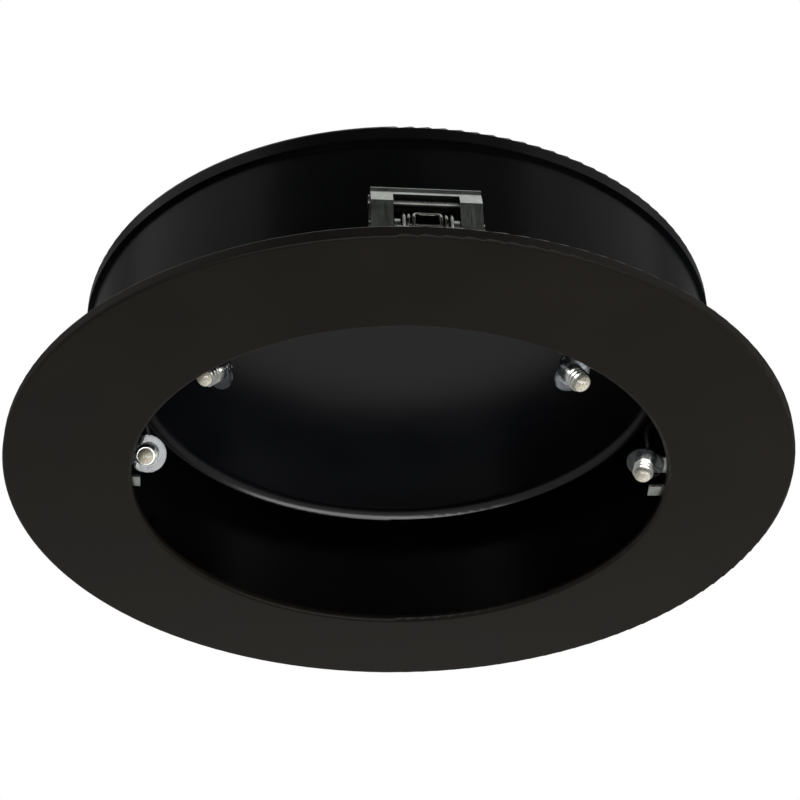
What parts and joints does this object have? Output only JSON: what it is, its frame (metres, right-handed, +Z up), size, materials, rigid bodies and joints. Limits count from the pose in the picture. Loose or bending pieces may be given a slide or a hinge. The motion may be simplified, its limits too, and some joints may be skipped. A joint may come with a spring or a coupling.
{
  "type": "soffit downlight",
  "caption": "Round recessed soffit downlight: flat trim ring with a light aperture, black can with a crimped cover, capsule lamps at the aperture and sprung side clips.",
  "frame": {"origin": "centre of the trim ring's visible face, which looks straight down", "axes": "+Z up into the soffit, -Y to the front, where the first side clip is, +X to the right seen from the front"},
  "size_m": [0.24, 0.24, 0.0767],
  "materials": {
    "trim_black": "satin black powder coat",
    "can_black": "smooth satin black paint",
    "pan_black": "smooth satin black paint",
    "zinc_steel": "bright zinc plate",
    "zinc_sheet": "bright zinc plate",
    "spring_wire": "bright drawn wire",
    "arm_steel": "zinc plate",
    "rivet_black": "satin black",
    "foam_grey": "closed-cell foam, matte",
    "seal_rubber": "matte black rubber",
    "driver_white": "matte moulded plastic",
    "block_white": "matte moulded plastic",
    "brass_plain": "plain brass",
    "gland_black": "matte moulded nylon",
    "clear_disc": "clear moulded plastic",
    "lamp_metal": "bright plated steel",
    "lens_cream": "frosted cream resin",
    "lead_black": "matte black insulation"
  },
  "bodies": {
    "housing": {"trim_ring": "trim_black", "soffit_gasket": "foam_grey", "trim_studs": "zinc_steel", "trim_nuts": "zinc_steel", "can_wall": "can_black", "top_cover": "can_black", "seam_seal": "seal_rubber", "ceiling_pan": "pan_black", "pan_studs": "zinc_steel", "pan_spacers": "zinc_steel", "pan_washers": "seal_rubber", "pan_nuts": "zinc_steel", "driver_case": "driver_white", "driver_lid": "driver_white", "driver_screws": "zinc_steel", "terminal_block": "block_white", "terminal_screws": "brass_plain", "earth_screw": "brass_plain", "earth_nut": "brass_plain", "earth_tag": "zinc_steel", "gland_body": "gland_black", "gland_washer": "seal_rubber", "gland_locknut": "gland_black", "gland_seal": "seal_rubber", "gland_nut": "gland_black", "clip_bracket_1": "zinc_sheet", "clip_bracket_2": "zinc_sheet", "clip_bracket_3": "zinc_sheet", "clip_rod_1": "zinc_steel", "clip_rod_2": "zinc_steel", "clip_rod_3": "zinc_steel", "clip_pin_1": "zinc_steel", "clip_pin_2": "zinc_steel", "clip_pin_3": "zinc_steel", "clip_rivets": "rivet_black", "lamp_bracket_1": "zinc_sheet", "lamp_bracket_2": "zinc_sheet", "lamp_bracket_3": "zinc_sheet", "lamp_bracket_4": "zinc_sheet", "lamp_disc_1": "clear_disc", "lamp_disc_2": "clear_disc", "lamp_disc_3": "clear_disc", "lamp_disc_4": "clear_disc", "lamp_body_1": "lamp_metal", "lamp_body_2": "lamp_metal", "lamp_body_3": "lamp_metal", "lamp_body_4": "lamp_metal", "lamp_lens_1": "lens_cream", "lamp_lens_2": "lens_cream", "lamp_lens_3": "lens_cream", "lamp_lens_4": "lens_cream", "lamp_nuts": "zinc_steel", "lamp_leads": "lead_black"},
    "arm_1": {"clip_arm_1": "arm_steel", "clip_spring_1": "spring_wire"},
    "arm_2": {"clip_arm_2": "arm_steel", "clip_spring_2": "spring_wire"},
    "arm_3": {"clip_arm_3": "arm_steel", "clip_spring_3": "spring_wire"}
  },
  "joints": [
    {"name": "arm_1_swing", "type": "hinge", "parent": "housing", "child": "arm_1", "pos_m": [0.00809, -0.10519, 0.0147], "axis": [-0.9971, -0.0767, 0], "range_deg": [0, 117], "stiffness_Nm_per_rad": 0.02, "springref_deg": -34.38},
    {"name": "arm_2_swing", "type": "hinge", "parent": "housing", "child": "arm_2", "pos_m": [0.08705, 0.0596, 0.0147], "axis": [0.565, -0.8251, 0], "range_deg": [0, 117], "stiffness_Nm_per_rad": 0.02, "springref_deg": -34.38},
    {"name": "arm_3_swing", "type": "hinge", "parent": "housing", "child": "arm_3", "pos_m": [-0.09514, 0.04559, 0.0147], "axis": [0.4321, 0.9018, 0], "range_deg": [0, 117], "stiffness_Nm_per_rad": 0.02, "springref_deg": -34.38}
  ]
}
